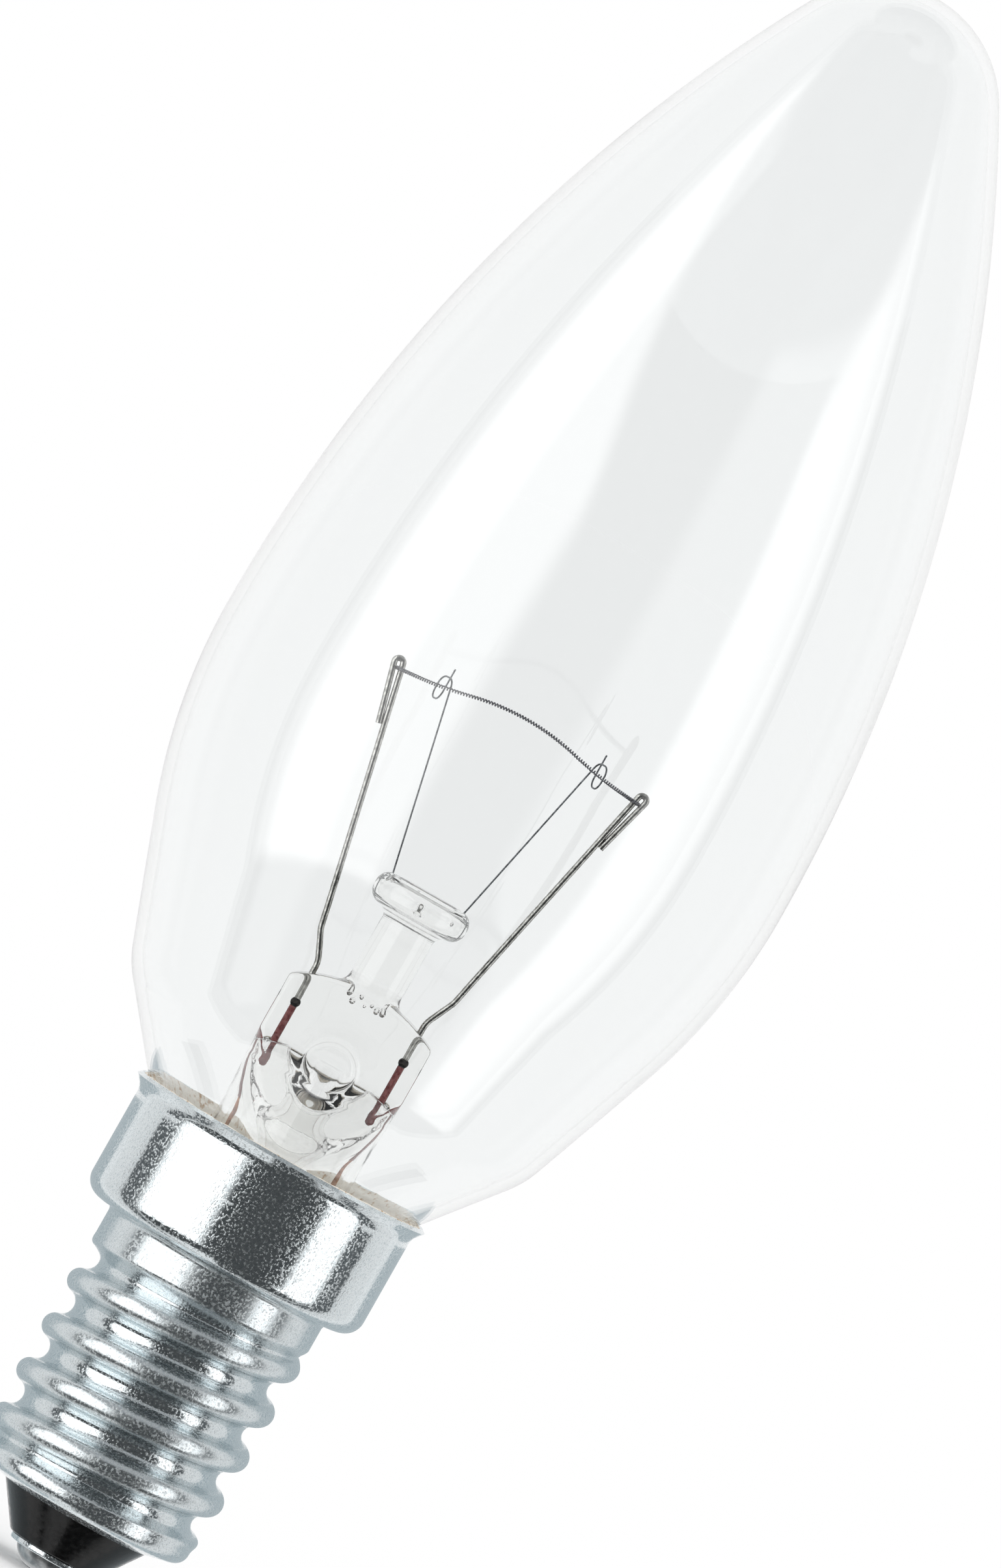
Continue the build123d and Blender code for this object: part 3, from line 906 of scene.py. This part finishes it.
def lead(side, name, node):
    """A lead wire: out of the press, over a kink, up to the filament, and folded down to grip it."""
    bm = bmesh.new()
    kink = (lead_x + kink_out, press_top + kink_rise)
    run = Vector((clamp_x - kink[0], clamp_z - kink[1])).normalized()
    outwards = Vector((run.y, -run.x))
    top = Vector((clamp_x, clamp_z)) + run * fold_rise - outwards * fold_radius
    end = bm.verts.new((lead_x, 0, weld_height))
    end = pen_corner(bm, end, (lead_x, press_top), kink, lead_bend)
    end = pen_corner(bm, end, kink, top, lead_bend)
    end = pen_line(bm, end, *top)
    end = pen_arc(bm, end, *(top + outwards * fold_radius), pi, 12)
    pen_line(bm, end, *(top + outwards * (lead_radius * 2 + fold_gap) - run * fold_length))
    points = [(side * vert.co.x, 0, vert.co.z) for vert in bm.verts]
    bm.free()
    return dress(wire_mesh(points, lead_radius, name, 4), nickel_wire, "nickel_wire", node, sharp=60)


def coil():
    """The filament: a fine wire wound along a line from clamp to clamp, through both eyes."""
    half = [
        (clamp_x, filament_tail, clamp_z),
        (clamp_x, -filament_tail, clamp_z),
        (eye_x, -eye_bulge, clamp_z + eye_rise),
        (arch_x, -arch_bulge, clamp_z + arch_rise),
    ]
    points = [(-x, y, z) for x, y, z in half] + half[::-1]
    route = draw_curve("filament", "NURBS", points)
    route.data.resolution_u = 24
    route.data.splines[0].order_u = 3
    route.data.splines[0].use_endpoint_u = True
    path = np.array([vert.co[:] for vert in curve_mesh(route).vertices])
    along = np.concatenate([[0], np.cumsum(np.linalg.norm(np.diff(path, axis=0), axis=1))])
    at = np.arange(0, along[-1], coil_turn_pitch / coil_steps)
    centre = np.column_stack([np.interp(at, along, path[:, k]) for k in range(3)])
    ahead = np.gradient(centre, axis=0)
    ahead /= np.linalg.norm(ahead, axis=1)[:, None]
    side = np.cross(ahead, (0, 0, 1))
    side /= np.linalg.norm(side, axis=1)[:, None]
    up = np.cross(side, ahead)
    turn = 2 * pi * at[:, None] / coil_turn_pitch
    wound = centre + coil_radius * (np.cos(turn) * side + np.sin(turn) * up)
    return dress(wire_mesh(wound, coil_wire_radius, "coil"), tungsten, "tungsten", "filament", sharp=180)


# Stage


def only_in_reflections(name, colour, strength, share=None):
    """A glow that shows only in reflections, by the share that an attribute gives, if one is named."""
    material, tree = new_material(name)
    path = add(tree, "ShaderNodeLightPath")
    paint = add(tree, "ShaderNodeEmission", {"Color": linear(colour), "Strength": strength})
    clear = add(tree, "ShaderNodeBsdfTransparent")
    shown = calculate(tree, "GREATER_THAN", (path, "Glossy Depth"), 0.5)
    near = calculate(tree, "LESS_THAN", (path, "Transmission Depth"), glass_passes)
    shown = calculate(tree, "MULTIPLY", (shown, "Value"), (near, "Value"))
    if share:
        part = add(tree, "ShaderNodeAttribute", attribute_name=share)
        shown = calculate(tree, "MULTIPLY", (shown, "Value"), (part, "Fac"))
    mix = {0: (shown, "Value"), 1: (clear, "BSDF"), 2: (paint, "Emission")}
    mix = add(tree, "ShaderNodeMixShader", mix)
    add(tree, "ShaderNodeOutputMaterial", {"Surface": (mix, "Shader")})
    material.cycles.emission_sampling = "NONE"
    return material


def stage_card(bm, name, material):
    """Puts a card on the stage, where neither the camera nor diffuse light meets it."""
    piece = add_object(bm, name)
    piece.data.materials.append(material)
    piece.visible_camera = False
    piece.visible_diffuse = False
    piece.visible_shadow = False
    return piece


def card(name, outline, start, end, material):
    """A card of (radius, height) points, turned about the lamp between two angles."""
    bm = bmesh.new()
    verts = [bm.verts.new((r * sin(radians(start)), -r * cos(radians(start)), z)) for r, z in outline]
    for a, b in zip(verts, verts[1:]):
        bm.edges.new((a, b))
    geom = bm.verts[:] + bm.edges[:]
    bmesh.ops.spin(
        bm, geom=geom, cent=(0, 0, 0), axis=(0, 0, 1), angle=radians(end - start), steps=40
    )
    return stage_card(bm, name, material)


def fade(x, width):
    """Rises smoothly from 0 to 1 over a width."""
    x = max(0, min(1, x / width))
    return x * x * (3 - 2 * x)


def softbox(name, start, end, low, high_start, high_end, radiance):
    """A soft-edged panel bent round the lamp between two angles, with a slanted top edge."""
    bm = bmesh.new()
    bmesh.ops.create_grid(bm, x_segments=softbox_cells, y_segments=softbox_cells, size=0.5)
    glow = bm.verts.layers.float.new("glow")
    for vert in bm.verts:
        x, y = vert.co.x + 0.5, vert.co.y + 0.5
        vert[glow] = fade(x, 0.16) * fade(1 - x, 0.16) * fade(y, 0.05) * fade(1 - y, 0.12)
        turn = radians(start + (end - start) * x)
        high = high_start + (high_end - high_start) * x
        vert.co = (softbox_reach * sin(turn), -softbox_reach * cos(turn), low + (high - low) * y)
    return stage_card(bm, name, only_in_reflections(name, "#FFFFFF", radiance, "glow"))


def floor():
    """A white floor that the camera, the light and clear glass see, and reflections don't."""
    material, tree = new_material("studio_floor")
    path = add(tree, "ShaderNodeLightPath")
    paint = add(tree, "ShaderNodeBsdfDiffuse", {"Color": linear("#FFFFFF")})
    clear = add(tree, "ShaderNodeBsdfTransparent")
    reflected = calculate(tree, "GREATER_THAN", (path, "Glossy Depth"), 0.5)
    mix = {0: (reflected, "Value"), 1: (paint, "BSDF"), 2: (clear, "BSDF")}
    mix = add(tree, "ShaderNodeMixShader", mix)
    add(tree, "ShaderNodeOutputMaterial", {"Surface": (mix, "Shader")})
    bm = bmesh.new()
    bmesh.ops.create_circle(bm, cap_ends=True, segments=96, radius=stage_floor_radius)
    piece = add_object(bm, "floor")
    piece.data.materials.append(material)


def camera():
    """A long lens in front of the lamp, a little above it, rolled so that the lamp leans."""
    lens = bpy.data.cameras.new("camera")
    lens.sensor_width = 36
    lens.lens = lens.sensor_width * camera_distance / (photo_height / photo_scale)
    lens.clip_start, lens.clip_end = 0.01, 100
    back = Vector((0, -cos(camera_elevation), sin(camera_elevation)))
    axis_up = Vector((0, sin(camera_elevation), cos(camera_elevation)))
    right = axis_up * sin(photo_lean) + Vector((cos(photo_lean), 0, 0))
    up = axis_up * cos(photo_lean) - Vector((sin(photo_lean), 0, 0))
    place = Matrix((right, up, back)).transposed().to_4x4()
    place.translation = (camera_target + back * camera_distance) * MM
    eye = bpy.data.objects.new("camera", lens)
    eye.matrix_world = place
    bpy.context.scene.collection.objects.link(eye)
    bpy.context.scene.camera = eye


glass_bulb()
stem()
lead(-1, "lead_left", "inner_lead_left")
lead(1, "lead_right", "inner_lead_right")
coil()
cap()
insulator()
contact()
cement_ring()
for node, finish in {
    "seal_wire_left": copper_clad,
    "seal_wire_right": copper_clad,
    "support_wire_left": molybdenum,
    "support_wire_right": molybdenum,
    "outer_lead_side": copper_wire,
    "outer_lead_centre": copper_wire,
    "side_solder": solder,
}.items():
    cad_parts[node].data.materials.clear()
    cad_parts[node].data.materials.append(finish)

world = bpy.data.worlds.new("white_surround")
world.use_nodes = True
world.node_tree.nodes["Background"].inputs["Color"].default_value = (1, 1, 1, 1)
world.node_tree.nodes["Background"].inputs["Strength"].default_value = 1.0
bpy.context.scene.world = world
dark = only_in_reflections("dark_studio", "#505253", 1.0)
dim = only_in_reflections("dim_studio", "#B4B6B8", 1.0)
grey = only_in_reflections("grey_cards", "#6A6D6F", 1.0)
pale = only_in_reflections("pale_sides", "#F2F2F2", 1.0)
white = only_in_reflections("white_back", "#FFFFFF", 1.0)
steel = only_in_reflections("steel_cards", "#BCC5C9", 1.0)
foot = (studio_radius, studio_low)
wall = [(0, studio_low), foot, (studio_radius, studio_high)]
ceiling = [(studio_radius, studio_high), (0, studio_high)]
front_top = (studio_radius, front_high)
card("dark_front", [(front_foot, studio_low), foot, front_top], front_left, front_right, dark)
card("dark_below", [(0, studio_low), (front_foot, studio_low)], below_left, below_right, dark)
card("dim_above", [front_top, *ceiling], front_left, front_right, dim)
card("dim_ceiling", ceiling, front_right, 360 + front_left, dim)
card("pale_left", wall, -back_edge, front_left, pale)
card("pale_right", wall, front_right, back_edge, pale)
card("white_back", wall, back_edge, 360 - back_edge, white)
# The cap's cards glow only in reflections, so they are painted reflections: a grey band and a steel-blue
# band on each side of the cap's metal, and they give no diffuse light.
for side, turn in {"left": -1, "right": 1}.items():  # two small cards on each side of the cap
    card("grey_card_" + side, cap_card_outline, turn * grey_card_start, turn * grey_card_end, grey)
    card("steel_card_" + side, cap_card_outline, turn * steel_card_start, turn * steel_card_end, steel)
softbox("softbox_left", start=-15, end=-84, low=-0.345, high_start=0.25, high_end=0.85, radiance=1.95)
softbox("softbox_right", start=49, end=84, low=-0.48, high_start=0.45, high_end=0.75, radiance=1.7)
floor()
camera()
bpy.context.scene.view_settings.view_transform = "Standard"
